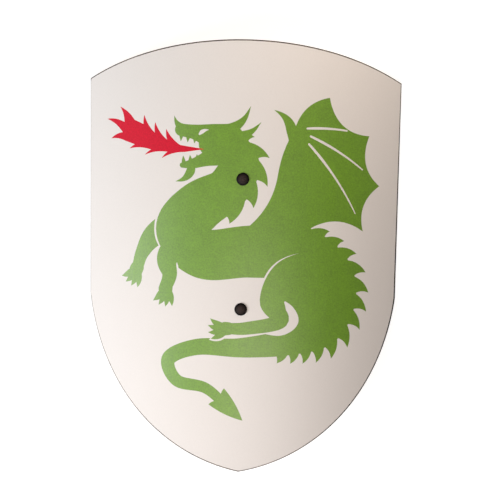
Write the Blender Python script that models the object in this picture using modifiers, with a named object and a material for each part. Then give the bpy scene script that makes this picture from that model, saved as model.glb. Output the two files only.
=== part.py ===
"""A child's toy knight shield, lying face up on its two long edges.

A plywood sheet is cut to the shield outline, drilled and bent about its long axis. Two domed bolts on the
centre line hold a leather hand strap in the hollow of its back.

Metres, +Z up. +Y runs from the tip to the top edge, and the origin is under the middle of the shield.
"""

import math

import bmesh
import bpy
from mathutils import Vector

# The sheet as it is cut, measured flat on its front face
SHEET_HEIGHT = 0.500
SHEET_WIDTH = 0.380
TOP_ARC_RISE = 0.048
SIDE_FOOT_HEIGHT = 0.200  # from the tip up to where the straight sides end
LOWER_ARC_BULGE = 0.044  # how far each lower arc stands out from its chord
SHEET_THICKNESS = 0.005
ARRIS_WIDTH = 0.0008

# The bend, whose radius is that of the front face
BEND_RADIUS = 0.340

# Bolts with low domed heads on the front
BOLT_SPACING = 0.150
LOWER_BOLT_HEIGHT = 0.193  # from the tip
SHANK_DIAMETER = 0.005
HEAD_DIAMETER = 0.0146
HEAD_RIM_HEIGHT = 0.0005
HEAD_DOME_HEIGHT = 0.0023

# Hand strap
STRAP_WIDTH = 0.028
STRAP_THICKNESS = 0.003
STRAP_END_LENGTH = 0.016  # from a bolt out to the strap's end
STRAP_SEAT_LENGTH = 0.012  # flat stretch from a bolt towards the grip
STRAP_FLOOR_ROOM = 0.009  # under the strap's lowest point when the shield lies

# Washers and cap nuts
WASHER_DIAMETER = 0.015
WASHER_THICKNESS = 0.001
NUT_ACROSS_FLATS = 0.008
NUT_BODY_HEIGHT = 0.004  # as deep as the nut's blind bore
NUT_DOME_HEIGHT = 0.0035

# Fits
FIT_GAP = 0.0003  # between pieces that touch
CUT_PAST = 0.004  # how far a cutter runs past the wall that it cuts

# Smoothness
TOP_ARC_STEPS = 26
LOWER_ARC_STEPS = 22
BEND_STEPS = 26
STRAP_STEPS = 44
STRAP_END_STEPS = 8
TURNED_STEPS = 24
DOME_STEPS = 4
SMOOTH_ANGLE = math.radians(35)

# What follows from these sizes
BACK_RADIUS = BEND_RADIUS - SHEET_THICKNESS
EDGE_ANGLE = (SHEET_WIDTH / 2 - ARRIS_WIDTH) / BEND_RADIUS
AXIS_DROP = BACK_RADIUS * math.cos(EDGE_ANGLE)  # from the floor down to the axis of the bend
FRONT_CROWN = BEND_RADIUS - AXIS_DROP
BACK_CROWN = BACK_RADIUS - AXIS_DROP
TIP_Y = -SHEET_HEIGHT / 2
LOWER_BOLT_Y = TIP_Y + LOWER_BOLT_HEIGHT
UPPER_BOLT_Y = LOWER_BOLT_Y + BOLT_SPACING
HOLE_RADIUS = SHANK_DIAMETER / 2 + FIT_GAP

# The strap lies flat under a curved back, so its long edges touch first
STRAP_SAG = BACK_RADIUS - math.sqrt(BACK_RADIUS**2 - (STRAP_WIDTH / 2) ** 2)
STRAP_TOP = BACK_CROWN - STRAP_SAG - FIT_GAP
STRAP_MID = STRAP_TOP - STRAP_THICKNESS / 2
STRAP_BOW = STRAP_TOP - STRAP_THICKNESS - STRAP_FLOOR_ROOM
STRAP_BOTTOM = STRAP_TOP - STRAP_THICKNESS
WASHER_TOP = STRAP_BOTTOM - FIT_GAP
NUT_TOP = WASHER_TOP - WASHER_THICKNESS - FIT_GAP
BORE_END = NUT_TOP - NUT_BODY_HEIGHT
SHANK_END = BORE_END + FIT_GAP
HEAD_SEAT = FRONT_CROWN + FIT_GAP


def clear_scene():
    for obj in list(bpy.data.objects):
        bpy.data.objects.remove(obj, do_unlink=True)


def new_collection(name):
    collection = bpy.data.collections.new(name)
    bpy.context.scene.collection.children.link(collection)
    return collection


def new_material(name, color, roughness, metallic=0.0):
    material = bpy.data.materials.new(name)
    material.use_nodes = True
    shader = material.node_tree.nodes["Principled BSDF"]
    shader.inputs["Base Color"].default_value = (*color, 1.0)
    shader.inputs["Roughness"].default_value = roughness
    shader.inputs["Metallic"].default_value = metallic
    return material


def object_of(name, mesh, collection, material=None):
    obj = bpy.data.objects.new(name, mesh)
    collection.objects.link(obj)
    if material:
        mesh.materials.clear()
        mesh.materials.append(material)
    return obj


def shade(mesh):
    mesh.shade_smooth()
    mesh.set_sharp_from_angle(angle=SMOOTH_ANGLE)


def cylinder_cutter(name, collection, radius, centre_y, low, high):
    """An upright cylinder on the centre line that Booleans take away."""
    bm = bmesh.new()
    bmesh.ops.create_cone(
        bm, cap_ends=True, segments=TURNED_STEPS, radius1=radius, radius2=radius, depth=high - low
    )
    mesh = bpy.data.meshes.new(name)
    bm.to_mesh(mesh)
    bm.free()
    cutter = object_of(name, mesh, collection)
    cutter.location = (0, centre_y, (low + high) / 2)
    cutter.hide_render = True
    cutter.display_type = "WIRE"
    return cutter


def cut(obj, cutter):
    modifier = obj.modifiers.new(cutter.name, "BOOLEAN")
    modifier.operation = "DIFFERENCE"
    modifier.solver = "EXACT"
    modifier.object = cutter


def arc(start, end, bulge, steps):
    """Points from start to just before end, on the arc that stands out to the right by bulge."""
    chord = end - start
    half = chord.length / 2
    radius = (half**2 + bulge**2) / (2 * bulge)
    along = chord.normalized()
    outward = Vector((along.y, -along.x))
    centre = (start + end) / 2 + outward * (bulge - radius)
    sweep = 2 * math.atan2(bulge, half)
    points = []
    for i in range(steps):
        turn = sweep * (2 * i / steps - 1)
        points.append(centre + radius * (outward * math.cos(turn) + along * math.sin(turn)))
    return points


def sheet_outline():
    """The outline of the flat sheet, counter-clockwise from the tip."""
    tip = Vector((0, TIP_Y))
    foot = Vector((SHEET_WIDTH / 2, TIP_Y + SIDE_FOOT_HEIGHT))
    corner = Vector((SHEET_WIDTH / 2, TIP_Y + SHEET_HEIGHT - TOP_ARC_RISE))
    left_foot = Vector((-foot.x, foot.y))
    left_corner = Vector((-corner.x, corner.y))
    return (
        arc(tip, foot, LOWER_ARC_BULGE, LOWER_ARC_STEPS)
        + [foot]
        + arc(corner, left_corner, TOP_ARC_RISE, TOP_ARC_STEPS)
        + [left_corner]
        + arc(left_foot, tip, LOWER_ARC_BULGE, LOWER_ARC_STEPS)
    )


def flat_solid(name, outline, thickness):
    """A mesh of an outline with thickness, centred on the XY plane. The curve it comes from is removed."""
    curve = bpy.data.curves.new(name, "CURVE")
    curve.dimensions = "2D"
    curve.fill_mode = "BOTH"
    curve.extrude = thickness / 2
    spline = curve.splines.new("POLY")
    spline.points.add(len(outline) - 1)
    for point, place in zip(spline.points, outline):
        point.co = (place.x, place.y, 0, 1)
    spline.use_cyclic_u = True
    guide = bpy.data.objects.new(name, curve)
    bpy.context.scene.collection.objects.link(guide)
    graph = bpy.context.evaluated_depsgraph_get()
    mesh = bpy.data.meshes.new_from_object(guide.evaluated_get(graph))
    bpy.data.objects.remove(guide, do_unlink=True)
    bpy.data.curves.remove(curve)
    mesh.name = name
    return mesh


def welded_flat(mesh):
    """The mesh as a bmesh with its caps joined to its sides and each cap one face."""
    bm = bmesh.new()
    bm.from_mesh(mesh)
    bmesh.ops.remove_doubles(bm, verts=bm.verts, dist=1e-5)
    bmesh.ops.dissolve_limit(bm, angle_limit=math.radians(0.2), verts=bm.verts, edges=bm.edges)
    bmesh.ops.recalc_face_normals(bm, faces=bm.faces)
    return bm


def round_arrises(bm, width):
    """Takes the sharp edges off all round the two flat sides."""
    rim = [e for e in bm.edges if any(abs(f.normal.z) > 0.9 for f in e.link_faces)]
    bmesh.ops.bevel(bm, geom=rim, offset=width, offset_type="OFFSET", segments=1, affect="EDGES")


def slice_across(bm, direction, places):
    """Cuts the faces along planes square to direction, so that the solid can bend there."""
    for place in places:
        everything = bm.verts[:] + bm.edges[:] + bm.faces[:]
        bmesh.ops.bisect_plane(bm, geom=everything, plane_co=direction * place, plane_no=direction)


def bent(point):
    """Where a point of the flat sheet comes to lie once the sheet is bent."""
    angle = point.x / BEND_RADIUS
    radius = BEND_RADIUS - SHEET_THICKNESS / 2 + point.z
    return Vector((radius * math.sin(angle), point.y, radius * math.cos(angle) - AXIS_DROP))


def make_panel(parts, cutters):
    mesh = flat_solid("shield_panel", sheet_outline(), SHEET_THICKNESS)
    bm = welded_flat(mesh)
    round_arrises(bm, ARRIS_WIDTH)
    step = SHEET_WIDTH / BEND_STEPS
    slice_across(bm, Vector((1, 0, 0)), [step * i - SHEET_WIDTH / 2 for i in range(1, BEND_STEPS)])
    for vertex in bm.verts:
        vertex.co = bent(vertex.co)
    bm.to_mesh(mesh)
    bm.free()
    shade(mesh)
    white_paint = new_material("white_paint", (0.85, 0.82, 0.79), 0.45)
    panel = object_of("shield_panel", mesh, parts, white_paint)
    for name, y in (("lower_bolt_hole", LOWER_BOLT_Y), ("upper_bolt_hole", UPPER_BOLT_Y)):
        hole = cylinder_cutter(name, cutters, HOLE_RADIUS, y, BACK_CROWN - CUT_PAST, FRONT_CROWN + CUT_PAST)
        cut(panel, hole)
    return panel


def strap_route():
    """Points along the middle of the strap's thickness, each (Y, Z), from its lower end to its upper end.

    Held flat at both ends and pushed together, a band bows as a raised cosine.
    """
    grip_start = LOWER_BOLT_Y + STRAP_SEAT_LENGTH
    grip_end = UPPER_BOLT_Y - STRAP_SEAT_LENGTH
    route = [Vector((LOWER_BOLT_Y - STRAP_END_LENGTH, STRAP_MID))]
    for i in range(STRAP_STEPS + 1):
        share = i / STRAP_STEPS
        bow = STRAP_BOW * (1 - math.cos(2 * math.pi * share)) / 2
        route.append(Vector((grip_start + (grip_end - grip_start) * share, STRAP_MID - bow)))
    route.append(Vector((UPPER_BOLT_Y + STRAP_END_LENGTH, STRAP_MID)))
    return route


def running_lengths(route):
    lengths = [0.0]
    for a, b in zip(route, route[1:]):
        lengths.append(lengths[-1] + (b - a).length)
    return lengths


def strap_outline(length):
    """The strap laid out flat, starting at Y = 0, with round ends."""
    radius = STRAP_WIDTH / 2
    outline = []
    for centre_y, first in ((length - radius, 0.0), (radius, math.pi)):
        for i in range(STRAP_END_STEPS + 1):
            turn = first + math.pi * i / STRAP_END_STEPS
            outline.append(Vector((radius * math.cos(turn), centre_y + radius * math.sin(turn))))
    return outline


def place_along(point, route, lengths):
    """Where a point of the flat strap lies once the strap follows its route."""
    last = len(route) - 2
    i = max(k for k in range(last + 1) if k == 0 or lengths[k] <= point.y)
    share = (point.y - lengths[i]) / (lengths[i + 1] - lengths[i])
    before = (route[i] - route[max(i - 1, 0)]).normalized()
    here = (route[i + 1] - route[i]).normalized()
    after = (route[min(i + 2, last + 1)] - route[i + 1]).normalized() if i < last else here
    start_tangent = (before + here).normalized() if i else here
    end_tangent = (here + after).normalized()
    tangent = start_tangent.lerp(end_tangent, share).normalized()
    middle = route[i].lerp(route[i + 1], share)
    return Vector((point.x, middle.x - tangent.y * point.z, middle.y + tangent.x * point.z))


def make_strap(parts, cutters):
    route = strap_route()
    lengths = running_lengths(route)
    mesh = flat_solid("hand_strap", strap_outline(lengths[-1]), STRAP_THICKNESS)
    bm = welded_flat(mesh)
    slice_across(bm, Vector((0, 1, 0)), lengths[1:-1])
    for vertex in bm.verts:
        vertex.co = place_along(vertex.co, route, lengths)
    bm.to_mesh(mesh)
    bm.free()
    shade(mesh)
    leather = new_material("brown_leather", (0.14, 0.06, 0.03), 0.6)
    strap = object_of("hand_strap", mesh, parts, leather)
    for name, y in (("lower_strap_hole", LOWER_BOLT_Y), ("upper_strap_hole", UPPER_BOLT_Y)):
        hole = cylinder_cutter(name, cutters, HOLE_RADIUS, y, STRAP_BOTTOM - CUT_PAST, STRAP_TOP + CUT_PAST)
        cut(strap, hole)
    return strap


def turned(name, profile, closed, collection, material, place_y):
    """A turned piece on an upright axis. Its profile holds (radius, height) from the top down its outside."""
    mesh = bpy.data.meshes.new(name)
    vertices = [(radius, 0, height) for radius, height in profile]
    edges = [(i, i + 1) for i in range(len(profile) - 1)]
    if closed:
        edges.append((len(profile) - 1, 0))
    mesh.from_pydata(vertices, edges, [])
    obj = object_of(name, mesh, collection, material)
    obj.location = (0, place_y, 0)
    screw = obj.modifiers.new("turn", "SCREW")
    screw.axis = "Z"
    screw.angle = 2 * math.pi
    screw.steps = screw.render_steps = TURNED_STEPS
    screw.use_merge_vertices = True
    screw.merge_threshold = 1e-5
    screw.use_smooth_shade = True
    return obj


def dome_profile(radius, base, height):
    """(radius, height) points of a low dome, from its top down to its rim."""
    sphere = (radius**2 + height**2) / (2 * height)
    widest = 2 * math.atan2(height, radius)
    points = []
    for i in range(DOME_STEPS + 1):
        angle = widest * i / DOME_STEPS
        points.append((sphere * math.sin(angle), base + height - sphere * (1 - math.cos(angle))))
    return points


def make_bolt(name, parts, material, place_y):
    shank = SHANK_DIAMETER / 2
    profile = dome_profile(HEAD_DIAMETER / 2, HEAD_SEAT + HEAD_RIM_HEIGHT, HEAD_DOME_HEIGHT)
    profile += [(HEAD_DIAMETER / 2, HEAD_SEAT), (shank, HEAD_SEAT), (shank, SHANK_END), (0, SHANK_END)]
    return turned(name, profile, False, parts, material, place_y)


def make_washer(name, parts, material, place_y):
    outer = WASHER_DIAMETER / 2
    low = WASHER_TOP - WASHER_THICKNESS
    profile = [(outer, WASHER_TOP), (outer, low), (HOLE_RADIUS, low), (HOLE_RADIUS, WASHER_TOP)]
    return turned(name, profile, True, parts, material, place_y)


def make_nut(name, parts, cutters, material, place_y):
    """A hexagon with a domed cap that points down, bored from above."""
    corner_radius = NUT_ACROSS_FLATS / 2 / math.cos(math.pi / 6)
    bm = bmesh.new()
    bmesh.ops.create_cone(
        bm, cap_ends=True, segments=6, radius1=corner_radius, radius2=corner_radius, depth=NUT_BODY_HEIGHT
    )
    mesh = bpy.data.meshes.new(name)
    bm.to_mesh(mesh)
    bm.free()
    nut = object_of(name, mesh, parts, material)
    nut.location = (0, place_y, NUT_TOP - NUT_BODY_HEIGHT / 2)

    dome_radius = NUT_ACROSS_FLATS / 2 - FIT_GAP
    upright = dome_profile(dome_radius, BORE_END, NUT_DOME_HEIGHT)
    hanging = [(radius, 2 * BORE_END - height) for radius, height in reversed(upright)]
    inside = BORE_END + FIT_GAP
    cap = turned(name + "_cap", [(0, inside), (dome_radius, inside), *hanging], False, cutters, material, place_y)
    cap.hide_render = True
    cap.display_type = "WIRE"
    join = nut.modifiers.new("cap", "BOOLEAN")
    join.operation = "UNION"
    join.solver = "EXACT"
    join.object = cap

    bore = cylinder_cutter(name + "_bore", cutters, HOLE_RADIUS, place_y, BORE_END, NUT_TOP + CUT_PAST)
    cut(nut, bore)
    return nut


def make_fastening(end, place_y, parts, cutters, dark_metal, bright_metal):
    """One bolt with its washer and cap nut."""
    make_bolt(end + "_bolt", parts, dark_metal, place_y)
    make_washer(end + "_washer", parts, bright_metal, place_y)
    make_nut(end + "_nut", parts, cutters, bright_metal, place_y)


def main():
    clear_scene()
    parts = new_collection("knight_shield")
    cutters = new_collection("cutters")
    make_panel(parts, cutters)
    make_strap(parts, cutters)
    dark_metal = new_material("dark_metal", (0.03, 0.022, 0.022), 0.4, 0.8)
    bright_metal = new_material("zinc_plate", (0.6, 0.6, 0.58), 0.35, 1.0)
    for end, place_y in (("upper", UPPER_BOLT_Y), ("lower", LOWER_BOLT_Y)):
        make_fastening(end, place_y, parts, cutters, dark_metal, bright_metal)


main()
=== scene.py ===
"""Looks of a child's toy knight shield: bent white plywood with a green dragon that breathes fire.

The shield lies face up. +Y runs from its tip to its top edge, and +X to the right as its front is seen.
Lengths are in metres, but those of the printed figure are in millimetres.
"""

import math

import bmesh
import bpy
import numpy as np
from mathutils import Matrix, Vector
from mathutils.geometry import delaunay_2d_cdt


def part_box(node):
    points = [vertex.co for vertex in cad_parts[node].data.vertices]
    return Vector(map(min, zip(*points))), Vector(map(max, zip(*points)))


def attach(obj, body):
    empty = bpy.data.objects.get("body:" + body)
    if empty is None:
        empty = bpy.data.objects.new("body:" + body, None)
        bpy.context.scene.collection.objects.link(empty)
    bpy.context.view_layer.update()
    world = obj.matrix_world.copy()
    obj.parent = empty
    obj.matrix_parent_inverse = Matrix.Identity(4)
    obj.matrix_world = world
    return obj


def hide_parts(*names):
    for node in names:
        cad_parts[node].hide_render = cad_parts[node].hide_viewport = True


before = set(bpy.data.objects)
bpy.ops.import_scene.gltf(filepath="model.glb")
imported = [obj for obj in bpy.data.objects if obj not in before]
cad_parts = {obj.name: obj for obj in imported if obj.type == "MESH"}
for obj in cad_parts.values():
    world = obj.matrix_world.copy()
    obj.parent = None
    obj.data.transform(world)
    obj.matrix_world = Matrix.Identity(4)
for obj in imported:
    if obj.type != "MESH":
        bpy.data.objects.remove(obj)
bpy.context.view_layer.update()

MM = 0.001

# The sheet as it is cut, measured flat on its front face
PANEL_LOW, PANEL_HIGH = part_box("shield_panel")
SHEET_HEIGHT = PANEL_HIGH.y - PANEL_LOW.y
SHEET_WIDTH = 0.380
TOP_ARC_RISE = 0.048
SIDE_FOOT_HEIGHT = 0.200
LOWER_ARC_BULGE = 0.044
SHEET_THICKNESS = 0.005
PLY_COUNT = 5
ARRIS = 0.0008  # bevel of the back edge
FRONT_ROUNDING = 0.0011  # keeps the rounded front edge inside the box of the solid's bevelled one
FOOT_Y = SIDE_FOOT_HEIGHT - SHEET_HEIGHT / 2
CORNER_Y = SHEET_HEIGHT / 2 - TOP_ARC_RISE

# The dark line that the cut leaves on the rim of the front face: its widths, and where its colours change.
# It is widened and darkest on the right as painted shade, and near nothing on the straight left as painted
# light
BURNT_TOP = 0.0003
BURNT_AND_PAINTED_SHADE_RIGHT = (0.0001, 0.0014, 0.0005)  # at the tip, the foot of the straight side and the top corner
BURNT_AND_PAINTED_LIGHT_LEFT = (0.0003, 0.00005, 0.00005)  # at the same places of the other side
# from here rightwards the rim takes its darkest colour, a painted shade
PAINTED_SHADE_FROM_X = 0.095
CORNER_OVERLAP = 0.0016  # how far the top edge's brown runs down past the corners

# The bend, whose radius is that of the front face
BEND_RADIUS = 0.340
AXIS_DROP = BEND_RADIUS - PANEL_HIGH.z  # how far its axis lies under the floor

# Bolts
HOLE_RADIUS = 0.0028
SHANK_RADIUS = 0.0025
HEAD_RIM_HEIGHT = 0.0005
RIM_ROUNDING = 0.0002
FIT_GAP = 0.0003

# Hand strap
STRAP_WIDTH = 0.028
STRAP_THICKNESS = 0.003
STRAP_SEAT_LENGTH = 0.012
STRAP_ARRIS = 0.0009
STITCH_INSET = 0.0036
STITCH_PITCH = 0.0050
STITCH_LENGTH = 0.0038
STITCH_STEPS = 6
THREAD_RADIUS = 0.00035
THREAD_SIDES = 8
THREAD_TAPER = 0.25  # a stitch's radius at its ends, as a share of that in its middle
THREAD_HUMP = 1.5  # how far a stitch rises from its ends to its middle, in thread radii
BOW_STEPS = 120

# Cap nuts
NUT_ACROSS_FLATS = 0.008
NUT_BODY_HEIGHT = 0.004
NUT_CHAMFER = 0.0006
NUT_CAP_INSET = 0.0003
NUT_BORE_FLOOR = 0.0002

# Smoothness
OUTLINE_STEP = 0.003
SPOT_STEP = (0.0040, 0.0060)  # spacing of the points inside a sheet's faces, across it and along it
SPOT_MARGIN = 0.003  # how far from the outline they stay
HOLE_MARGIN = 0.001  # and how far from a hole
MERGE_DISTANCE = 0.004  # in millimetres, where the triangles are made
HOLE_STEPS = 48
STRAP_END_STEP = 0.001
ARRIS_STEPS = 4
TURNED_STEPS = 96
SMOOTH_ANGLE = math.radians(32)
FACE_MATCH = math.cos(math.radians(3))  # least cosine between a bent triangle's normal and the bend's own
SLOPE_STEP = 0.002  # share of a curve before and after a place, over which its direction is read
ON_AXIS = 1e-7  # radius under which a turned ring is one point

# Surfaces
NOISE_ENDS = (0.3, 0.7)  # nearly all values of a noise lie between them
TONE_REACH = (0.8, 1.4)  # how far a paint's specks go from its colour, in mottles
PAINT_UNEVENNESS = 0.05  # how far a paint's roughness goes either way
ZINC_UNEVENNESS = 0.08
COAT_ROUGHNESS = 0.45
PAINTED_SHADE_SHARE = 0.3  # share of a bolt's dome, from its rim up, that keeps the near-black rim colour as painted shade


# Plain curves in the plane, as lists of (x, y)

def polar(start, angle, reach):
    return (start[0] + reach * math.cos(angle), start[1] + reach * math.sin(angle))


def along(points, t):
    """Place on the smooth curve through the points, t from 0 to 1."""
    spans = len(points) - 1
    place = min(max(t, 0.0), 1.0) * spans
    k = min(int(place), spans - 1)
    u = place - k
    p1, p2 = points[k], points[k + 1]
    p0 = points[k - 1] if k > 0 else tuple(2 * a - b for a, b in zip(p1, p2))
    p3 = points[k + 2] if k + 2 <= spans else tuple(2 * b - a for a, b in zip(p1, p2))
    return tuple(
        0.5 * (2 * b + (c - a) * u + (2 * a - 5 * b + 4 * c - d) * u**2 + (3 * b - a - 3 * c + d) * u**3)
        for a, b, c, d in zip(p0, p1, p2, p3)
    )


def heading(points, t):
    """Direction of the smooth curve at t, in radians."""
    before, after = along(points, t - SLOPE_STEP), along(points, t + SLOPE_STEP)
    return math.atan2(after[1] - before[1], after[0] - before[0])


def side_point(spine, t, reach):
    """Place beside the curve, to the left of its direction where the reach is above zero."""
    return polar(along(spine, t), heading(spine, t) + math.pi / 2, reach)


def half_width(widths, t):
    """Half of the width at t, from values spread evenly along the curve."""
    return max(along([(w,) for w in widths], t)[0], 0.0) / 2


def round_end(a, b, steps=10):
    """Half circle from a round to b, without its two ends."""
    centre = ((a[0] + b[0]) / 2, (a[1] + b[1]) / 2)
    reach = math.dist(a, centre)
    if reach < SMALLEST_ROUND:
        return []
    first = math.atan2(a[1] - centre[1], a[0] - centre[0])
    return [polar(centre, first - math.pi * i / steps, reach) for i in range(1, steps)]


def evenly(start, end, steps):
    return [start + (end - start) * i / steps for i in range(steps + 1)]


def ribbon(spine, widths, start=0.0, end=1.0, more=0.0, steps=60):
    """Outline of a band that follows the curve, with round ends where it is wide."""
    marks = evenly(start, end, steps)
    left = [side_point(spine, t, half_width(widths, t) + more) for t in marks]
    right = [side_point(spine, t, -half_width(widths, t) - more) for t in reversed(marks)]
    return left + round_end(left[-1], right[0]) + right + round_end(right[-1], left[0])


def parting(spine, widths, starts, steps=90):
    """Outline of the band with a margin, which comes out from under it past a start on either side."""
    marks = evenly(min(starts), 1.0, steps)
    sides = []
    for start, side in zip(starts, (1, -1)):
        shares = [min(max(t - start, 0.0) / PARTING_TAPER, 1.0) for t in marks]
        margins = [PARTING * share - PARTING_HIDDEN * (1 - share) for share in shares]
        reaches = [side * (half_width(widths, t) + margin) for t, margin in zip(marks, margins)]
        sides.append([side_point(spine, t, reach) for t, reach in zip(marks, reaches)])
    left, right = sides[0], sides[1][::-1]
    return left + round_end(left[-1], right[0]) + right


def bowed(a, b, bow, steps=8):
    """Points from a to just before b, on a curve that swings to the left by bow times their distance."""
    dx, dy = b[0] - a[0], b[1] - a[1]
    shares = [(t, bow * 4 * t * (1 - t)) for t in (i / steps for i in range(steps))]
    return [(a[0] + dx * t - dy * swing, a[1] + dy * t + dx * swing) for t, swing in shares]


def leaf(base, tip, width, bow=0.0, shape=(0.55, 1.0, 0.85, 0.45, 0.0)):
    """Outline of a pointed leaf from base to tip, swung to the left by bow times its length."""
    return ribbon(bowed(base, tip, bow, 4) + [tip], [width * w for w in shape], steps=24)


# The printed figure, in millimetres on the flat sheet, from the middle of its height

# Middle of the neck, body and tail, and its width at each point
SPINE = [
    (-36, 132), (-12, 130), (0, 110), (-14, 84), (-50, 60), (-72, 32),
    (-44, 6), (8, 10), (60, 8), (98, -28), (94, -72), (54, -94),
    (2, -102), (-50, -103), (-84, -119), (-74, -144), (-40, -151), (-14, -172),
]
SPINE_WIDTHS = [30, 32, 37, 47, 58, 58, 58, 60, 68, 74, 60, 34, 23, 19, 17, 15, 13, 11]
PARTING = 2.2  # width of the white line round a limb that lies over the body
PARTING_HIDDEN = 1.0  # how far it lies under the limb before its start
PARTING_TAPER = 0.20  # share of the limb's length in which it comes out
SMALLEST_ROUND = 0.3  # radius under which a band's end is left square
FIN_SMALLEST = 0.4  # height at the very ends of a row of fins, as a share of that in its middle
FIN_LEAN = 1.05  # how far along the row from its foot a fin's tip lies, in fins
FIN_BOW = 0.12
FIN_SINK = 1.5  # how deep a fin's two corners lie in the body
FIN_ROOT_SINK = 6
PAW_LENGTH = 24  # from the wrist to the ends of the toes
FORE_TOE_WIDTH = 8.5
HIND_TOE_WIDTH = 8
PAD_REACH = 0.15  # from the wrist to the middle of the pad's round end, as a share of the paw's length
PAD_WIDTHS = (1.9, 2.0)  # in widths of a toe
TOE_START = 0.1  # how far from the wrist, as a share of the paw's length
TOE_BOW = 0.07
TOE_SHAPE = (1.0, 1.0, 0.95, 0.6, 0.0)
RIB_WIDTHS = (0.8, 2.8, 2.3, 1.6, 0.2)
ARROW_LENGTH = 33
BARB_LENGTH = 16
BARB_TURN = 2.15  # angle between the tail's direction and each barb, in radians
ARROW_NECK = 0.985  # share of the spine at which the arrow starts
ARROW_AIM = 0.97  # and at which it takes its direction
TOOTH_WIDTH = 4.5
TONGUE_LEAN = 1.25  # how far along the row from its start a tongue's tip lies, in tongues
TONGUE_BOW = 0.07
TONGUE_HOOK = 0.05
FLAME_END = 0.86  # share of the jet at which its fan of tongues starts


def fins(start, end, count, length):
    """Row of hooked fins on the outer side of the spine, highest in the row's middle."""
    found = []
    step = (end - start) / count
    for i in range(count):
        a = start + step * i
        size = length * (FIN_SMALLEST + (1 - FIN_SMALLEST) * math.sin(math.pi * (i + 0.5) / count))
        foot, heel = [side_point(SPINE, t, half_width(SPINE_WIDTHS, t) - FIN_SINK) for t in (a, a + step)]
        top = a + FIN_LEAN * step
        tip = side_point(SPINE, top, half_width(SPINE_WIDTHS, top) + size)
        root = side_point(SPINE, a + step / 2, half_width(SPINE_WIDTHS, a) - FIN_ROOT_SINK)
        found.append(bowed(foot, tip, FIN_BOW) + bowed(tip, heel, -FIN_BOW) + [heel, root])
    return found


def paw(wrist, angle, length, width, more=0.0, toes=4, spread=1.05):
    """Foot of a beast: a round pad and a fan of toes that end in claws."""
    pad = polar(wrist, angle, PAD_REACH * length)
    found = [ribbon([wrist, pad], [share * width for share in PAD_WIDTHS], more=more, steps=2)]
    for i in range(toes):
        turn = angle + spread * (i / (toes - 1) - 0.5)
        base, tip = polar(wrist, turn, TOE_START * length), polar(wrist, turn, length + more)
        found.append(leaf(base, tip, width + 2 * more, TOE_BOW, TOE_SHAPE))
    return found


def limb(spine, widths, paw_angle, toe_width, open_from):
    """White line round the far part of a limb, then the limb and its paw.

    paw_angle is in degrees. open_from holds the shares of the limb at which the line comes out, on its
    left and on its right.
    """
    angle = math.radians(paw_angle)
    white = [parting(spine, widths, open_from)] + paw(spine[-1], angle, PAW_LENGTH, toe_width, PARTING)
    green = [ribbon(spine, widths)] + paw(spine[-1], angle, PAW_LENGTH, toe_width)
    return [("white", part) for part in white] + [("green", part) for part in green]


def wing():
    """Raised wing: an arm, a thumb, fingers from the wrist, and a scalloped skin with ribs between them."""
    root, elbow, wrist, heel = (4, 36), (40, 100), (58, 150), (66, 28)
    tips = [(98, 186), (148, 142), (163, 84), (143, 32)]
    skin = bowed(root, elbow, -0.10, 12) + bowed(elbow, wrist, 0.05) + bowed(wrist, tips[0], 0.16, 12)
    for a, b in zip(tips, tips[1:] + [heel]):
        skin += bowed(a, b, -0.19, 16)
    skin.append(heel)
    found = [("green", skin), ("green", leaf((55, 136), (34, 172), 12, -0.18))]
    for k, tip in enumerate(tips[1:]):
        rib = bowed(wrist, tip, 0.05) + [tip]
        found.append(("white", ribbon(rib, RIB_WIDTHS, start=0.16, end=0.68 + 0.08 * k)))
    return found


def head():
    """Head in profile with open jaws, fangs, horns, a beard and a white eye."""
    found = [
        ribbon([(-18, 136), (-38, 141), (-56, 145), (-72, 147)], [40, 28, 17, 14]),
        ribbon([(-20, 124), (-42, 115), (-58, 109), (-70, 107)], [34, 17, 11, 6]),
        leaf((-60, 148), (-80, 163), 10, 0.22),
        leaf((-34, 148), (8, 176), 12, -0.20),
        leaf((-22, 142), (20, 158), 11, -0.16),
        leaf((-22, 112), (-46, 92), 9, 0.16),
        leaf((-58, 110), (-78, 88), 10, 0.20),
    ]
    for k in range(3):
        found.append(leaf((-71 + 8 * k, 144 - 1.5 * k), (-72 + 8 * k, 134 - k), TOOTH_WIDTH))
        found.append(leaf((-68 + 8 * k, 108 + 2 * k), (-69 + 8 * k, 118 + k), TOOTH_WIDTH))
    eye = leaf((-50, 143), (-39, 148), 4.4, 0.12)
    return [("green", part) for part in found] + [("white", eye)]


def tongues(jet, widths, side, count, start, end, size):
    """Edge of the fire on one side of its jet, in tongues hooked forward. side is 1 for its left."""
    edge = []
    step = (end - start) / count
    for i in range(count):
        t = start + step * i
        reaches = [(t, 0.0), (t + TONGUE_LEAN * step, size), (t + step, 0.0)]
        valley, tip, after = [
            side_point(jet, s, side * (half_width(widths, s) + more)) for s, more in reaches
        ]
        edge += bowed(valley, tip, -TONGUE_BOW * side) + bowed(tip, after, TONGUE_HOOK * side)
    return edge


def flame():
    """Jet of fire that leaves the mouth thin, widens and ends in a fan of pointed tongues."""
    jet = [(-44, 126), (-76, 126), (-106, 133), (-134, 145)]
    widths = [3, 9, 20, 26]
    hub, ahead = along(jet, FLAME_END), heading(jet, FLAME_END)
    fan = [
        polar(hub, ahead + math.radians(turn), reach)
        for turn, reach in ((48, 20), (34, 38), (20, 22), (4, 46), (-10, 24), (-26, 40), (-44, 18))
    ]
    edge = tongues(jet, widths, side=1, count=3, start=0.24, end=FLAME_END, size=8)
    upper = tongues(jet, widths, side=-1, count=3, start=0.30, end=FLAME_END, size=11)
    for k, (a, b) in enumerate(zip(fan, fan[1:])):
        edge += bowed(a, b, 0.08 if k % 2 else -0.08)
    return [("red", [jet[0]] + edge + [fan[-1]] + upper[::-1])]


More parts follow.
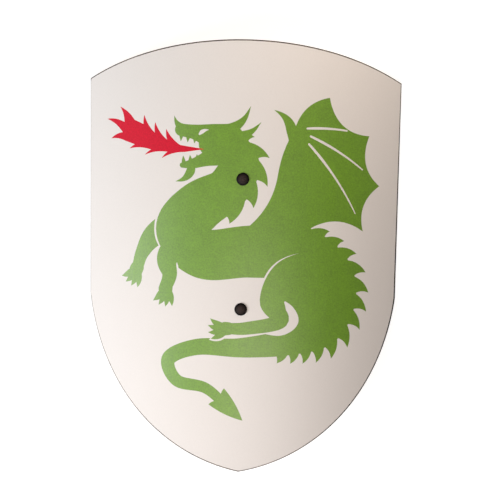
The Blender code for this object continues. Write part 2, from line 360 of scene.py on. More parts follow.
def tail_tip():
    """Barbed arrow at the tail's end."""
    neck, angle = along(SPINE, ARROW_NECK), heading(SPINE, ARROW_AIM)
    tip = polar(neck, angle, ARROW_LENGTH)
    barbs = [polar(neck, angle + turn, BARB_LENGTH) for turn in (BARB_TURN, -BARB_TURN)]
    edge = bowed(neck, barbs[0], 0.16) + bowed(barbs[0], tip, 0.05)
    return edge + bowed(tip, barbs[1], 0.05) + bowed(barbs[1], neck, 0.16)


def dragon():
    """All layers of the print as (colour, outline in metres), the later over the earlier."""
    far_leg = [(-78, 40), (-104, 24), (-118, 4), (-124, -14)]
    near_leg = [(-62, 26), (-86, 0), (-84, -20), (-88, -34)]
    hind_leg = [(90, -12), (54, -22), (34, -48), (46, -70), (8, -79), (-14, -80)]
    rump = [(52, -44), (74, -66)]
    behind_hock = [(50, -47), (57, -58), (60, -72), (46, -84), (22, -84)]
    mane = fins(start=0.045, end=0.205, count=5, length=14)
    comb = fins(start=0.475, end=0.665, count=13, length=17)
    layers = limb(far_leg, [36, 26, 17, 14], 240, FORE_TOE_WIDTH, open_from=(0.3, 0.3))
    layers += wing()
    layers.append(("white", ribbon(SPINE, SPINE_WIDTHS, start=0.16, end=0.30, more=PARTING)))
    layers.append(("green", ribbon(SPINE, SPINE_WIDTHS, steps=260)))
    layers += [("green", fin) for fin in mane + comb]
    layers.append(("green", ribbon(rump, [34, 34])))
    layers.append(("white", ribbon(behind_hock, [1, 10, 13, 7, 1])))
    layers += limb(hind_leg, [52, 46, 25, 18, 15, 13], 182, HIND_TOE_WIDTH, open_from=(0.55, 0.04))
    layers.append(("green", ribbon([(44, -46), (40, -64)], [9, 5])))
    layers += limb(near_leg, [42, 27, 18, 15], 258, FORE_TOE_WIDTH, open_from=(0.34, 0.22))
    layers.append(("green", tail_tip()))
    layers += head() + flame()
    return [(colour, [(x * MM, y * MM) for x, y in outline]) for colour, outline in layers]


# Flat outlines, in metres

def arc(start, end, bulge):
    """Points from start to just before end, on the arc that stands out to the right by bulge."""
    chord = end - start
    half = chord.length / 2
    radius = (half**2 + bulge**2) / (2 * bulge)
    forward = chord.normalized()
    outward = Vector((forward.y, -forward.x))
    centre = (start + end) / 2 + outward * (bulge - radius)
    sweep = 2 * math.atan2(bulge, half)
    steps = round(2 * sweep * radius / OUTLINE_STEP)
    turns = [sweep * (2 * i / steps - 1) for i in range(steps)]
    return [centre + radius * (outward * math.cos(turn) + forward * math.sin(turn)) for turn in turns]


def straight(start, end):
    """Points from start to just before end."""
    steps = round((end - start).length / OUTLINE_STEP)
    return [start.lerp(end, i / steps) for i in range(steps)]


def sheet_outline():
    """Outline of the flat sheet, counter-clockwise from the tip."""
    tip = Vector((0, -SHEET_HEIGHT / 2))
    foot = Vector((SHEET_WIDTH / 2, FOOT_Y))
    corner = Vector((SHEET_WIDTH / 2, CORNER_Y))
    left_foot = Vector((-foot.x, foot.y))
    left_corner = Vector((-corner.x, corner.y))
    return (
        arc(tip, foot, LOWER_ARC_BULGE)
        + straight(foot, corner)
        + arc(corner, left_corner, TOP_ARC_RISE)
        + straight(left_corner, left_foot)
        + arc(left_foot, tip, LOWER_ARC_BULGE)
    )


def on_circle(centre_y, radius, turns):
    """Points at those turns of a circle on the centre line."""
    return [Vector((radius * math.cos(turn), centre_y + radius * math.sin(turn))) for turn in turns]


def strap_outline(length):
    """Outline of the flat strap with round ends, counter-clockwise, starting at Y = 0."""
    radius = STRAP_WIDTH / 2
    steps = round(math.pi * radius / STRAP_END_STEP)
    ends = []
    for centre_y, first in ((length - radius, 0.0), (radius, math.pi)):
        turns = [first + math.pi * i / steps for i in range(steps + 1)]
        ends.append(on_circle(centre_y, radius, turns))
    upper, lower = ends
    return upper[:-1] + straight(upper[-1], lower[0]) + lower[:-1] + straight(lower[-1], upper[0])


def circle(centre_y, radius):
    return on_circle(centre_y, radius, [2 * math.pi * i / HOLE_STEPS for i in range(HOLE_STEPS)])


def inset(outline, width):
    """The counter-clockwise outline moved inwards, by one width or by a list of one for each point."""
    widths = width if isinstance(width, list) else [width] * len(outline)
    befores, afters = outline[-1:] + outline[:-1], outline[1:] + outline[:1]
    moved = []
    for before, here, after, reach in zip(befores, outline, afters, widths):
        first, second = (here - before).normalized(), (after - here).normalized()
        normal = Vector((-first.y, first.x))
        inward = (normal + Vector((-second.y, second.x))).normalized()
        moved.append(here + inward * reach / inward.dot(normal))
    return moved


def divided(outline, longest):
    """The closed outline with points added where two neighbours are further apart than longest."""
    points = []
    for a, b in zip(outline, outline[1:] + outline[:1]):
        count = max(math.ceil(math.dist(a, b) / longest), 1)
        points += [Vector(a).lerp(Vector(b), i / count) for i in range(count)]
    return points


def inside(outline, places):
    """Which of the places, an array of (x, y), lie inside a closed outline that may cross itself."""
    turns = np.zeros(len(places), int)
    x, y = places[:, 0], places[:, 1]
    for (ax, ay), (bx, by) in zip(outline, outline[1:] + outline[:1]):
        side = (bx - ax) * (y - ay) - (x - ax) * (by - ay)
        turns += ((ay <= y) & (by > y) & (side > 0)).astype(int)
        turns -= ((ay > y) & (by <= y) & (side < 0)).astype(int)
    return turns != 0


def spots_within(outline, clear_of):
    """Staggered rows of places inside an outline, clear of the given (centre Y, radius) circles."""
    across = max(abs(p.x) for p in outline)
    low, high = min(p.y for p in outline), max(p.y for p in outline)
    rows = np.arange(low, high, SPOT_STEP[1])
    columns = np.arange(-across, across, SPOT_STEP[0])
    grid = np.array([(x + SPOT_STEP[0] / 2 * (k % 2), y) for k, y in enumerate(rows) for x in columns])
    keep = inside([tuple(p) for p in outline], grid)
    for centre_y, radius in clear_of:
        keep &= np.hypot(grid[:, 0], grid[:, 1] - centre_y) > radius
    return [Vector(p) for p in grid[keep]]


# Sheets: flat outlines with thickness, bent into place

def quarter_round(size):
    """(inset, drop) pairs round an edge of that size, from the face to the side."""
    turns = [math.pi / 2 * i / ARRIS_STEPS for i in range(ARRIS_STEPS + 1)]
    return [(size * (1 - math.sin(turn)), size * (1 - math.cos(turn))) for turn in turns]


def panel_profile():
    """(inset, height) pairs round the plywood's edge, from its front face to its back.

    There is a ring at each seam but the first, which lies in the rounding.
    """
    half = SHEET_THICKNESS / 2
    front = [(width, half - drop) for width, drop in quarter_round(FRONT_ROUNDING)]
    seams = [half - SHEET_THICKNESS * i / PLY_COUNT for i in range(2, PLY_COUNT)]
    return front + [(0.0, height) for height in seams] + [(0.0, -half + ARRIS), (ARRIS, -half)]


def strap_profile():
    """(inset, height) pairs round the strap's edge, which is rounded on both its faces."""
    upper = [(width, STRAP_THICKNESS / 2 - drop) for width, drop in quarter_round(STRAP_ARRIS)]
    return upper + [(width, -height) for width, height in reversed(upper)]


def triangles_between(loops, marks, spots):
    """Triangles that keep every loop and mark as edges.

    Gives their corners, the triangles, and each corner's place in the loops, or None where it has none.
    """
    points, edges = [], []
    for loop in loops + marks:
        first, count = len(points), len(loop)
        points += [Vector(p) / MM for p in loop]
        edges += [(first + i, first + (i + 1) % count) for i in range(count)]
    points += [p / MM for p in spots]
    corners, _, faces, sources, _, _ = delaunay_2d_cdt(points, edges, [], 0, MERGE_DISTANCE, True)
    known = sum(len(loop) for loop in loops)
    places = [min((k for k in source if k < known), default=None) for source in sources]
    return [corner * MM for corner in corners], faces, places


def add_face(bm, rim, height, place, corners, faces, keep, indices, up):
    """Adds one of a sheet's two faces. rim holds the vertices that it shares with its edge and holes."""
    points, shared = corners
    verts = [
        bm.verts.new(place(point.x, point.y, height)) if k is None else rim[k]
        for point, k in zip(points, shared)
    ]
    for face, kept, index in zip(faces, keep, indices):
        if kept:
            ring = [verts[k] for k in (face if up else reversed(face))]
            bm.faces.new(ring).material_index = int(index)


def add_band(bm, upper, lower, indices):
    """Adds the quads between two rings that run the same way round."""
    count = len(upper)
    for i, index in enumerate(indices):
        j = (i + 1) % count
        bm.faces.new((upper[i], lower[i], lower[j], upper[j])).material_index = index


def sheet_mesh(name, outline, profile, edge, holes, place, marks=(), front=None, back=0, bore=0):
    """A closed mesh of a flat outline with round holes on its centre line, bent by place(x, y, height).

    edge(k, flat) gives the material indices of the quads in the edge's band k, and front(places) those of
    places on the front face.
    """
    bm = bmesh.new()
    rings, rims = [], []
    for width, height in profile:
        flat = inset(outline, width)
        rings.append((flat, [bm.verts.new(place(p.x, p.y, height)) for p in flat]))
    for k, ((flat, upper), (_, lower)) in enumerate(zip(rings, rings[1:])):
        add_band(bm, upper, lower, edge(k, flat))
    hole_loops = [circle(centre_y, HOLE_RADIUS) for centre_y in holes]
    for height in (profile[0][1], profile[-1][1]):
        rims.append([[bm.verts.new(place(p.x, p.y, height)) for p in loop] for loop in hole_loops])
    for upper, lower in zip(*rims):
        add_band(bm, upper[::-1], lower[::-1], [bore] * HOLE_STEPS)

    clear_of = [(centre_y, HOLE_RADIUS + HOLE_MARGIN) for centre_y in holes]
    spots = spots_within(inset(outline, SPOT_MARGIN), clear_of)
    for (flat, ring), rim, height, up in (
        (rings[0], rims[0], profile[0][1], True),
        (rings[-1], rims[1], profile[-1][1], False),
    ):
        loops = [flat] + hole_loops
        points, faces, shared = triangles_between(loops, list(marks) if up else [], spots)
        centres = np.array([sum((points[k] for k in face), Vector((0, 0))) / 3 for face in faces])
        keep = np.ones(len(faces), bool)
        for centre_y in holes:
            keep &= np.hypot(centres[:, 0], centres[:, 1] - centre_y) > HOLE_RADIUS
        indices = front(centres) if up and front else np.full(len(faces), back)
        shared_verts = ring + [v for loop in rim for v in loop]
        add_face(bm, shared_verts, height, place, (points, shared), faces, keep, indices, up)
    mesh = bpy.data.meshes.new(name)
    bm.to_mesh(mesh)
    bm.free()
    return mesh


def smooth(mesh):
    mesh.shade_smooth()
    mesh.set_sharp_from_angle(angle=SMOOTH_ANGLE)


def new_piece(name, mesh, materials, slot, *replaced):
    """An object of the mesh that rides on the shield, and stands for the CAD nodes named last."""
    for material in materials:
        mesh.materials.append(material)
    piece = bpy.data.objects.new(name, mesh)
    bpy.context.scene.collection.objects.link(piece)
    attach(piece, "root")
    if replaced:
        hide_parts(*replaced)
    return piece


# Materials

def colour_sockets(sockets):
    """Those of a Mix node's sockets that take or give a colour."""
    return [socket for socket in sockets if socket.type == "RGBA"]


class Nodes:
    """Short ways to add nodes to one material's tree."""

    def __init__(self, name, roughness, metallic=0.0, specular=0.5):
        self.material = bpy.data.materials.new(name)
        self.material.use_nodes = True
        self.tree = self.material.node_tree
        self.shader = self.tree.nodes["Principled BSDF"]
        self.shader.inputs["Roughness"].default_value = roughness
        self.shader.inputs["Metallic"].default_value = metallic
        self.shader.inputs["Specular IOR Level"].default_value = specular
        self.places = self.add("ShaderNodeTexCoord").outputs["Object"]

    def add(self, kind, **settings):
        node = self.tree.nodes.new(kind)
        for key, value in settings.items():
            setattr(node, key, value)
        return node

    def link(self, source, target):
        self.tree.links.new(source, target)

    def noise(self, scale, detail=3.0, stretch=(1, 1, 1), rough=0.5):
        """Noise whose grain is 1 / scale metres wide, drawn out where stretch is below one."""
        mapping = self.add("ShaderNodeMapping")
        mapping.inputs["Scale"].default_value = stretch
        self.link(self.places, mapping.inputs["Vector"])
        noise = self.add("ShaderNodeTexNoise")
        noise.inputs["Scale"].default_value = scale
        noise.inputs["Detail"].default_value = detail
        noise.inputs["Roughness"].default_value = rough
        self.link(mapping.outputs["Vector"], noise.inputs["Vector"])
        return noise.outputs["Fac"]

    def spread(self, value, low, high, to_low=0.0, to_high=1.0):
        """The value's stretch from low to high, mapped to the new ends and held there."""
        node = self.add("ShaderNodeMapRange")
        for key, number in (("From Min", low), ("From Max", high), ("To Min", to_low), ("To Max", to_high)):
            node.inputs[key].default_value = number
        self.link(value, node.inputs["Value"])
        return node.outputs["Result"]

    def mix(self, share, first, second, blend="MIX"):
        """Colour between two others, each a colour or a node's output."""
        node = self.add("ShaderNodeMix", data_type="RGBA", blend_type=blend)
        self.link(share, node.inputs["Factor"])
        for target, colour in zip(colour_sockets(node.inputs), (first, second)):
            if isinstance(colour, tuple):
                target.default_value = (*colour, 1.0)
            else:
                self.link(colour, target)
        return colour_sockets(node.outputs)[0]

    def bump(self, height, distance):
        node = self.add("ShaderNodeBump")
        node.inputs["Distance"].default_value = distance
        self.link(height, node.inputs["Height"])
        self.link(node.outputs["Normal"], self.shader.inputs["Normal"])

    def colour(self, source):
        self.link(source, self.shader.inputs["Base Color"])

    def roughness(self, source):
        self.link(source, self.shader.inputs["Roughness"])


def tinted(colour, factor):
    return tuple(c * factor for c in colour)


def paint_material(name, colour, mottle, roughness, specular, coat=0.0):
    """Paint or print on sanded plywood: clouds and fine specks, and the grain just shows in its sheen.

    mottle is roughly the share by which its tone wanders, and coat the weight of a satin layer over it.
    """
    nodes = Nodes(name, roughness, specular=specular)
    nodes.shader.inputs["Coat Weight"].default_value = coat
    nodes.shader.inputs["Coat Roughness"].default_value = COAT_ROUGHNESS
    cloud = nodes.spread(nodes.noise(40), *NOISE_ENDS)
    speck = nodes.spread(nodes.noise(620, detail=2), *NOISE_ENDS)
    least, most = (reach * mottle for reach in TONE_REACH)
    dark = nodes.mix(cloud, tinted(colour, 1 - most), tinted(colour, 1 - least))
    light = nodes.mix(cloud, tinted(colour, 1 + least), tinted(colour, 1 + most))
    nodes.colour(nodes.mix(speck, dark, light))
    grain = nodes.noise(700, stretch=(1, 0.04, 1))
    ends = (roughness - PAINT_UNEVENNESS, roughness + PAINT_UNEVENNESS)
    nodes.roughness(nodes.spread(grain, *NOISE_ENDS, *ends))
    nodes.bump(grain, 0.00004)
    return nodes.material


def edge_material(name, light, dark):
    """Cut edge of plywood, browned by the cutter and uneven along its length."""
    nodes = Nodes(name, 0.7, specular=0.3)
    burn = nodes.spread(nodes.noise(60), 0.35, 0.65)
    fibre = nodes.spread(nodes.noise(1500, detail=2, stretch=(1, 1, 0.3)), *NOISE_ENDS, 0.0, 0.35)
    nodes.colour(nodes.mix(fibre, nodes.mix(burn, dark, light), tinted(dark, 0.6)))
    nodes.bump(nodes.noise(1500, detail=2), 0.0001)
    return nodes.material


def plywood_material():
    """Bare birch face veneer: pale, with long fine grain along the shield and a few darker streaks."""
    nodes = Nodes("bare_plywood", 0.6, specular=0.35)
    bands = nodes.spread(nodes.noise(26, detail=4, stretch=(1, 0.10, 1), rough=0.6), *NOISE_ENDS)
    fibre = nodes.spread(nodes.noise(500, stretch=(1, 0.03, 1)), *NOISE_ENDS)
    streak = nodes.spread(nodes.noise(160, stretch=(1, 0.02, 1), rough=0.7), 0.60, 0.72, 0.0, 0.5)
    base = nodes.mix(bands, (0.60, 0.42, 0.25), (0.72, 0.54, 0.35))
    grained = nodes.mix(nodes.spread(fibre, 0, 1, 0.0, 0.35), base, (0.48, 0.32, 0.18))
    nodes.colour(nodes.mix(streak, grained, (0.40, 0.25, 0.13)))
    nodes.roughness(nodes.spread(fibre, 0, 1, 0.52, 0.68))
    nodes.bump(fibre, 0.00006)
    return nodes.material


def leather_material(name, colour, darkest):
    """Brown leather: pebbled grain, darker in its creases, with rubbed lighter patches."""
    nodes = Nodes(name, 0.55, specular=0.4)
    pebble = nodes.add("ShaderNodeTexVoronoi", feature="DISTANCE_TO_EDGE")
    pebble.inputs["Scale"].default_value = 1100
    nodes.link(nodes.places, pebble.inputs["Vector"])
    crease = nodes.spread(pebble.outputs["Distance"], 0.0, 0.22)
    wear_and_painted_shade = nodes.spread(nodes.noise(45), 0.35, 0.70)
    body = nodes.mix(wear_and_painted_shade, colour, tinted(colour, 1.5))
    nodes.colour(nodes.mix(crease, darkest, body))
    nodes.roughness(nodes.spread(wear_and_painted_shade, 0, 1, 0.60, 0.45))
    nodes.bump(crease, 0.00008)
    return nodes.material


def thread_material():
    """Waxed linen thread, twisted."""
    nodes = Nodes("waxed_thread", 0.6, specular=0.3)
    twist = nodes.spread(nodes.noise(2600, detail=2), *NOISE_ENDS)
    nodes.colour(nodes.mix(twist, (0.50, 0.42, 0.29), (0.70, 0.62, 0.46)))
    nodes.bump(twist, 0.00004)
    return nodes.material


def blackened_material(name, rim, crown, rim_height, crown_height):
    """Matt blackened steel, its own browner tone at the crown of its dome, and near black towards the rim
    as painted shade.
    """
    nodes = Nodes(name, 0.62, specular=0.07)
    axes = nodes.add("ShaderNodeSeparateXYZ")
    nodes.link(nodes.places, axes.inputs["Vector"])
    # below this height the dome takes the near-black rim colour, a painted shade, which fades into the
    # crown's tone above it
    painted_shade_top = (1 - PAINTED_SHADE_SHARE) * rim_height + PAINTED_SHADE_SHARE * crown_height
    wear_and_painted_shade = nodes.spread(axes.outputs["Z"], painted_shade_top, crown_height)
    speck = nodes.spread(nodes.noise(900), *NOISE_ENDS)
    crown_tone = nodes.mix(speck, tinted(crown, 0.55), tinted(crown, 1.45))
    nodes.colour(nodes.mix(wear_and_painted_shade, rim, crown_tone))
    nodes.roughness(nodes.spread(speck, 0, 1, 0.54, 0.70))
    nodes.bump(speck, 0.00002)
    return nodes.material


def metal_material(name, colour, metallic, roughness):
    """Coated steel with faint specks and an uneven sheen."""
    nodes = Nodes(name, roughness, metallic)
    speck = nodes.spread(nodes.noise(1400), *NOISE_ENDS)
    nodes.colour(nodes.mix(speck, tinted(colour, 0.82), tinted(colour, 1.18)))
    ends = (roughness - ZINC_UNEVENNESS, roughness + ZINC_UNEVENNESS)
    nodes.roughness(nodes.spread(nodes.noise(500), *NOISE_ENDS, *ends))
    nodes.bump(speck, 0.00001)
    return nodes.material


# Panel

# Places of the panel's materials in its list, where the paints come first
PAINTS = ("white", "green", "red")
# The end-grain material also colours the right of the front's rim as painted shade, and the next one is a
# paler rim for the straight left, as painted light
WHITE, EDGE, END_GRAIN_AND_PAINTED_SHADE, PAINTED_LIGHT_RIM, BARE = 0, 3, 4, 5, 6


def bent(x, y, height):
    """Where a place on the flat sheet, that height over its middle layer, lies once the sheet is bent."""
    angle = x / BEND_RADIUS
    radius = BEND_RADIUS - SHEET_THICKNESS / 2 + height
    return Vector((radius * math.sin(angle), y, radius * math.cos(angle) - AXIS_DROP))


def bolt_places():
    """Y of each bolt, read from the frame."""
    return {end: sum(corner.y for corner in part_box(end + "_bolt")) / 2 for end in ("lower", "upper")}


def rim_paint(x, y):
    """Materials on the front's rim: darkest on the right as painted shade, paler on the straight left as
    painted light, else brown.
    """
    top, right, straight_left = y > CORNER_Y - CORNER_OVERLAP, x > PAINTED_SHADE_FROM_X, (x < 0) & (y > FOOT_Y)
    return np.select([top, right, straight_left], [EDGE, END_GRAIN_AND_PAINTED_SHADE, PAINTED_LIGHT_RIM], EDGE)


def burnt_and_shaded_width(x, y):
    """How far the cut's dark line reaches over the front face at a place on the outline; its extra width on
    the right is painted shade.
    """
    if y >= CORNER_Y:
        return BURNT_TOP
    widths = BURNT_AND_PAINTED_SHADE_RIGHT if x > 0 else BURNT_AND_PAINTED_LIGHT_LEFT
    return float(np.interp(y, (-SHEET_HEIGHT / 2, FOOT_Y, CORNER_Y), widths))


def make_panel(bolts):
    outline = sheet_outline()
    margin = [tuple(p) for p in inset(outline, [FRONT_ROUNDING + burnt_and_shaded_width(*p) for p in outline])]
    layers = dragon()

    def front(centres):
        indices = np.full(len(centres), WHITE)
        for colour, shape in layers:
            indices[inside(shape, centres)] = PAINTS.index(colour)
        return np.where(inside(margin, centres), indices, rim_paint(centres[:, 0], centres[:, 1]))

    def edge(k, flat):
        if k < ARRIS_STEPS:
            return rim_paint(*np.array(flat).T).tolist()
        # every second ply shows its end grain, and the last band is the bevel at the back
        ply = 1 + k - ARRIS_STEPS
        return [END_GRAIN_AND_PAINTED_SHADE if ply in range(1, PLY_COUNT, 2) else EDGE] * len(flat)

    marks = [divided(shape, OUTLINE_STEP) for shape in [margin] + [shape for _, shape in layers]]
    mesh = sheet_mesh(
        "painted_panel", outline, panel_profile(), edge, bolts, bent, marks, front, back=BARE, bore=EDGE
    )
    smooth(mesh)
    set_bend_normals(mesh)
    materials = [
        paint_material("white_paint", (0.74, 0.70, 0.665), 0.010, roughness=0.60, specular=0.15),
        paint_material("green_print", (0.134, 0.280, 0.006), 0.17, roughness=0.50, specular=0.8, coat=0.5),
        paint_material("red_print", (0.60, 0.009, 0.030), 0.09, roughness=0.60, specular=0.15),
        edge_material("burnt_edge", (0.16, 0.12, 0.09), (0.05, 0.036, 0.03)),
        # the plies' end grain, also the near-black right of the front's rim, which is painted shade
        edge_material("end_grain_and_painted_shade", (0.060, 0.046, 0.040), (0.022, 0.017, 0.015)),
        # paler rim of the straight left side, which is painted light
        paint_material("painted_light_rim", (0.41, 0.385, 0.365), 0.05, roughness=0.60, specular=0.15),
        plywood_material(),
    ]
    return new_piece("painted_shield_panel", mesh, materials, "painted_plywood", "shield_panel")


def set_bend_normals(mesh):
    """Gives the two bent faces the bend's true normals, so that their shading is even across the print."""
    normals = np.zeros((len(mesh.loops), 3))
    for face in mesh.polygons:
        side = -1 if face.material_index == BARE else 1
        centre = face.center
        upright = Vector((centre.x, 0, centre.z + AXIS_DROP)).normalized()
        if face.normal.dot(side * upright) < FACE_MATCH:
            continue
        for k in face.loop_indices:
            place = mesh.vertices[mesh.loops[k].vertex_index].co
            normals[k] = side * Vector((place.x, 0, place.z + AXIS_DROP)).normalized()
    mesh.normals_split_custom_set(normals.tolist())


# Hand strap

BURNISHED = 1  # place in the strap's materials


def strap_route(bolts):
    """Points (Y, Z) along the middle of the strap's thickness, from its lower end to its upper end."""
    low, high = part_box("hand_strap")
    seat = high.z - STRAP_THICKNESS / 2
    bow = high.z - STRAP_THICKNESS - low.z
    start, end = bolts["lower"] + STRAP_SEAT_LENGTH, bolts["upper"] - STRAP_SEAT_LENGTH
    route = [Vector((low.y, seat))]
    for i in range(BOW_STEPS + 1):
        share = i / BOW_STEPS
        drop = bow * (1 - math.cos(2 * math.pi * share)) / 2
        route.append(Vector((start + (end - start) * share, seat - drop)))
    route.append(Vector((high.y, seat)))
    return route


def strap_placer(route):
    """A function from (x, length along the strap, height over its middle) to a place, and the length."""
    lengths = np.concatenate([[0], np.cumsum([(b - a).length for a, b in zip(route, route[1:])])])
    ys, zs = np.array([p.x for p in route]), np.array([p.y for p in route])
    mids = (lengths[1:] + lengths[:-1]) / 2
    slopes = [math.atan2((b - a).y, (b - a).x) for a, b in zip(route, route[1:])]

    def place(x, length, height):
        y, z = np.interp(length, lengths, ys), np.interp(length, lengths, zs)
        slope = np.interp(length, mids, slopes)
        return Vector((x, y - math.sin(slope) * height, z + math.cos(slope) * height))

    return place, lengths[-1]


def make_strap(bolts):
    route = strap_route(bolts)
    place, length = strap_placer(route)
    outline = strap_outline(length)
    holes = [bolts["lower"] - route[0].x, length - (route[-1].x - bolts["upper"])]

    def edge(k, flat):
        return [BURNISHED] * len(flat)

    mesh = sheet_mesh("strap", outline, strap_profile(), edge, holes, place, bore=BURNISHED)
    smooth(mesh)
    leather = leather_material("strap_leather", (0.155, 0.070, 0.034), (0.09, 0.04, 0.020))
    burnished = leather_material("burnished_leather", (0.075, 0.032, 0.016), (0.04, 0.018, 0.010))
    new_piece("leather_hand_strap", mesh, [leather, burnished], "strap_leather", "hand_strap")
    make_stitching(outline, place)


def make_stitching(outline, place):
    """One row of stitches round the strap, on both its faces."""
    line = inset(outline, STITCH_INSET)
    lengths = np.concatenate([[0], np.cumsum([(b - a).length for a, b in zip(line, line[1:] + line[:1])])])
    xs, ys = [np.array([p[k] for p in line + line[:1]]) for k in (0, 1)]
    count = round(lengths[-1] / STITCH_PITCH)
    bm = bmesh.new()
    for face in (1, -1):
        for i in range(count):
            first = lengths[-1] * i / count
            stops = [first + STITCH_LENGTH * k / STITCH_STEPS for k in range(STITCH_STEPS + 1)]
            spine = [(np.interp(s, lengths, xs), np.interp(s, lengths, ys)) for s in stops]
            add_stitch(bm, spine, face, place)
    mesh = bpy.data.meshes.new("stitching")
    bm.to_mesh(mesh)
    bm.free()
    smooth(mesh)
    new_piece("strap_stitching", mesh, [thread_material()], "strap_leather")


def add_stitch(bm, spine, face, place):
    """A plump thread that dips into the leather at both ends."""
    rings = []
    last = len(spine) - 1
    for k, (x, y) in enumerate(spine):
        share = k / last
        swell = math.sin(math.pi * share)
        radius = THREAD_RADIUS * (THREAD_TAPER + (1 - THREAD_TAPER) * swell**0.5)
        rise = STRAP_THICKNESS / 2 + THREAD_RADIUS * (THREAD_HUMP * swell - 1.0)
        before, after = spine[max(k - 1, 0)], spine[min(k + 1, last)]
        across = Vector((before[1] - after[1], after[0] - before[0])).normalized()
        ring = []
        for i in range(THREAD_SIDES):
            turn = 2 * math.pi * i / THREAD_SIDES
            out, up = radius * math.cos(turn), radius * math.sin(turn)
            ring.append(bm.verts.new(place(x + across.x * out, y + across.y * out, face * (rise + up))))
        rings.append(ring if face > 0 else ring[::-1])
    for upper, lower in zip(rings, rings[1:]):
        for i in range(THREAD_SIDES):
            j = (i + 1) % THREAD_SIDES
            bm.faces.new((upper[i], upper[j], lower[j], lower[i]))
    bm.faces.new(rings[0][::-1])
    bm.faces.new(rings[-1])


# Fastenings

def turned(name, profile, centre_y, across_flats=None):
    """A mesh turned on an upright axis from (radius, height) points, from its top down its outside.

    Where across_flats is given, no point stands out past a hexagon of that size.
    """
    bm = bmesh.new()
    rings = []
    for radius, height in profile:
        if radius < ON_AXIS:
            rings.append([bm.verts.new((0, centre_y, height))])
            continue
        ring = []
        for i in range(TURNED_STEPS):
            turn = 2 * math.pi * i / TURNED_STEPS
            reach = radius
            if across_flats:
                from_flat = (turn + math.pi / 6) % (math.pi / 3) - math.pi / 6
                reach = min(radius, across_flats / 2 / math.cos(from_flat))
            ring.append(bm.verts.new((reach * math.cos(turn), centre_y + reach * math.sin(turn), height)))
        rings.append(ring)
    pairs = list(zip(rings, rings[1:]))
    if len(rings[0]) > 1:
        pairs.append((rings[-1], rings[0]))
    for upper, lower in pairs:
        for i in range(TURNED_STEPS):
            j = (i + 1) % TURNED_STEPS
            corners = [ring[k % len(ring)] for ring, k in ((upper, i), (lower, i), (lower, j), (upper, j))]
            bm.faces.new(list(dict.fromkeys(corners)))
    mesh = bpy.data.meshes.new(name)
    bm.to_mesh(mesh)
    bm.free()
    smooth(mesh)
    return mesh


def rounded(radius, top, bottom):
    """(radius, height) points down an upright wall whose two edges are rounded."""
    upper = [(radius - width, top - drop) for width, drop in quarter_round(RIM_ROUNDING)]
    return upper + [(reach, bottom + top - height) for reach, height in reversed(upper)]


def dome(radius, base, height, steps=12):
    """(radius, height) points of a low dome, from its top down to its rim."""
    sphere = (radius**2 + height**2) / (2 * height)
    widest = 2 * math.atan2(height, radius)
    turns = [widest * i / steps for i in range(steps + 1)]
    return [(sphere * math.sin(turn), base + height - sphere * (1 - math.cos(turn))) for turn in turns]


def make_bolt(end, centre_y, material):
    low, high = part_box(end + "_bolt")
    radius = (high.y - low.y) / 2
    seat = PANEL_HIGH.z + FIT_GAP
    rim = seat + HEAD_RIM_HEIGHT
    profile = dome(radius - RIM_ROUNDING, rim, high.z - rim)[:-1]
    profile += rounded(radius, rim, seat)
    profile += [(SHANK_RADIUS, seat), (SHANK_RADIUS, low.z), (0, low.z)]
    mesh = turned(end + "_dome_bolt", profile, centre_y)
    new_piece(end + "_dome_bolt", mesh, [material], "dark_metal", end + "_bolt")


def make_washer(end, centre_y, material):
    low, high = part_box(end + "_washer")
    outer = rounded((high.y - low.y) / 2, high.z, low.z)
    bore = [(HOLE_RADIUS, low.z), (HOLE_RADIUS, high.z)]
    mesh = turned(end + "_flat_washer", outer + bore, centre_y)
    new_piece(end + "_flat_washer", mesh, [material], "zinc_plate", end + "_washer")


def make_nut(end, centre_y, material):
    """Cap nut, upside down: a chamfered hexagon under the washer, a dome below it, and a blind bore."""
    low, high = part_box(end + "_nut")
    flat = NUT_ACROSS_FLATS / 2
    corner = flat / math.cos(math.pi / 6)
    base = high.z - NUT_BODY_HEIGHT
    shares = [i / ARRIS_STEPS for i in range(ARRIS_STEPS + 1)]
    chamfer = [(flat + (corner - flat) * share, NUT_CHAMFER * share**2) for share in shares]
    profile = [(0, base + NUT_BORE_FLOOR), (HOLE_RADIUS, base + NUT_BORE_FLOOR), (HOLE_RADIUS, high.z)]
    profile += [(radius, high.z - drop) for radius, drop in chamfer]
    profile += [(radius, base + drop) for radius, drop in reversed(chamfer)]
    cap = dome(flat - NUT_CAP_INSET, base, base - low.z)
    profile += [(radius, 2 * base - height) for radius, height in reversed(cap)]
    mesh = turned(end + "_cap_nut", profile, centre_y, NUT_ACROSS_FLATS)
    new_piece(end + "_cap_nut", mesh, [material], "zinc_plate", end + "_nut")


def make_fastenings(bolts):
    """A dark bolt, a washer and a cap nut at each end of the strap."""
    rim, crown = PANEL_HIGH.z + HEAD_RIM_HEIGHT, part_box("upper_bolt")[1].z
    # The near-black rim colour is painted shade round the dome's foot; the crown's colour is the head's own
    # dark brown
    dark_metal = blackened_material("dark_metal", (0.004, 0.003, 0.003), (0.040, 0.028, 0.025), rim, crown)
    zinc = metal_material("zinc_plate", (0.60, 0.60, 0.58), metallic=1.0, roughness=0.36)
    for end, centre_y in bolts.items():
        make_bolt(end, centre_y, dark_metal)
        make_washer(end, centre_y, zinc)
        make_nut(end, centre_y, zinc)


# Floor, light and camera

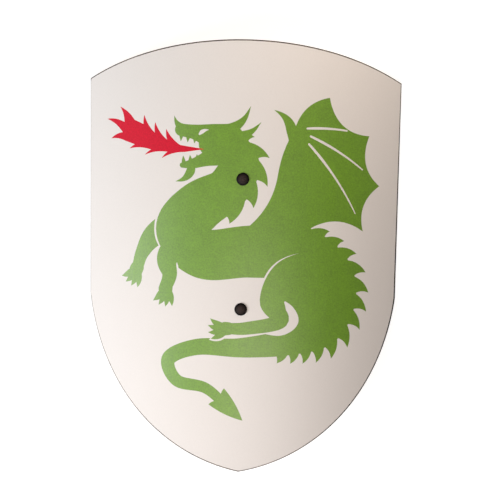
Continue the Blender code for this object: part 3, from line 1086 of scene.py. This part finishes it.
LIGHTS = (
    # name, degrees from overhead, direction on the floor, distance, strength for each colour
    ("key_light", 62.5, 210, 2.5, (1.06, 1.09, 1.13)),
    ("lower_fill", 26, 278, 0.6, (0.395, 0.355, 0.332)),
    ("upper_fill", 57, 64, 0.6, (0.378, 0.327, 0.283)),
)
LIGHT_SIZE = 0.5  # as a share of its distance
LIGHT_ENERGY = math.pi**2  # at strength 1 and distance 1; it grows with the square of the distance
FLOOR_SIZE = 24
FLOOR_GLOW = 0.80
ROOM_LOW = 0.90
ROOM_HIGH = 0.03
ROOM_FADE = 0.28  # sine of the angle over the floor at which the room is dark
CAMERA_TILT = 8.44  # towards the top edge, from straight above
CAMERA_TURN = 1.45  # towards the right
CAMERA_ROLL = 0.98
CAMERA_DISTANCE = 1.727
CAMERA_AIM = (0.00883, 0.00824, 0.030)
CAMERA_LENS = 107.35
CAMERA_SENSOR = 36


def make_floor():
    """Plain white floor, which glows a little as a lit table does, so that shadows on it stay faint."""
    bpy.ops.mesh.primitive_plane_add(size=FLOOR_SIZE)
    floor = bpy.context.object
    floor.name = "floor"
    nodes = Nodes("pale_floor", 0.9, specular=0.1)
    nodes.colour(nodes.mix(nodes.noise(20, detail=2), (0.38, 0.38, 0.38), (0.42, 0.42, 0.42)))
    nodes.shader.inputs["Emission Color"].default_value = (1, 1, 1, 1)
    nodes.shader.inputs["Emission Strength"].default_value = FLOOR_GLOW
    floor.data.materials.append(nodes.material)


def make_lights():
    for name, from_top, direction, distance, strength in LIGHTS:
        light = bpy.data.lights.new(name, "AREA")
        light.size = LIGHT_SIZE * distance
        brightest = max(strength)
        light.color = [s / brightest for s in strength]
        light.energy = brightest * LIGHT_ENERGY * distance**2
        tilt, turn = math.radians(from_top), math.radians(direction)
        lamp = bpy.data.objects.new(name, light)
        lamp.location = distance * Vector(
            (math.sin(tilt) * math.cos(turn), math.sin(tilt) * math.sin(turn), math.cos(tilt))
        )
        lamp.rotation_euler = (-lamp.location).to_track_quat("-Z", "Y").to_euler()
        lamp.visible_camera = False
        bpy.context.scene.collection.objects.link(lamp)


def make_room():
    """Pale all round at the floor's height, and dark overhead, where only the lamps give light."""
    world = bpy.data.worlds.new("soft_room")
    world.use_nodes = True
    nodes, links = world.node_tree.nodes, world.node_tree.links
    axes, height, shade = [nodes.new("ShaderNode" + kind) for kind in ("SeparateXYZ", "MapRange", "Mix")]
    shade.data_type = "RGBA"
    height.inputs["From Max"].default_value = ROOM_FADE
    for socket, level in zip(colour_sockets(shade.inputs), (ROOM_LOW, ROOM_HIGH)):
        socket.default_value = (level, level, level, 1)
    links.new(nodes.new("ShaderNodeTexCoord").outputs["Generated"], axes.inputs["Vector"])
    links.new(axes.outputs["Z"], height.inputs["Value"])
    links.new(height.outputs["Result"], shade.inputs["Factor"])
    links.new(colour_sockets(shade.outputs)[0], nodes["Background"].inputs["Color"])
    bpy.context.scene.world = world


def make_camera():
    tilt, turn, roll = (math.radians(a) for a in (CAMERA_TILT, CAMERA_TURN, CAMERA_ROLL))
    away = Vector((math.sin(turn) * math.cos(tilt), math.sin(tilt), math.cos(turn) * math.cos(tilt)))
    level = Vector((0, 1, 0)).cross(away).normalized()
    upright = away.cross(level)
    right = level * math.cos(roll) + upright * math.sin(roll)
    up = upright * math.cos(roll) - level * math.sin(roll)
    data = bpy.data.cameras.new("camera")
    data.lens = CAMERA_LENS
    data.sensor_width = CAMERA_SENSOR
    camera = bpy.data.objects.new("camera", data)
    turned_axes = Matrix((right, up, away)).transposed().to_4x4()
    camera.matrix_world = Matrix.Translation(Vector(CAMERA_AIM) + CAMERA_DISTANCE * away) @ turned_axes
    bpy.context.scene.collection.objects.link(camera)
    bpy.context.scene.camera = camera


bpy.context.scene.view_settings.view_transform = "Standard"
bolts = bolt_places()
make_panel(list(bolts.values()))
make_strap(bolts)
make_fastenings(bolts)
make_floor()
make_lights()
make_room()
make_camera()
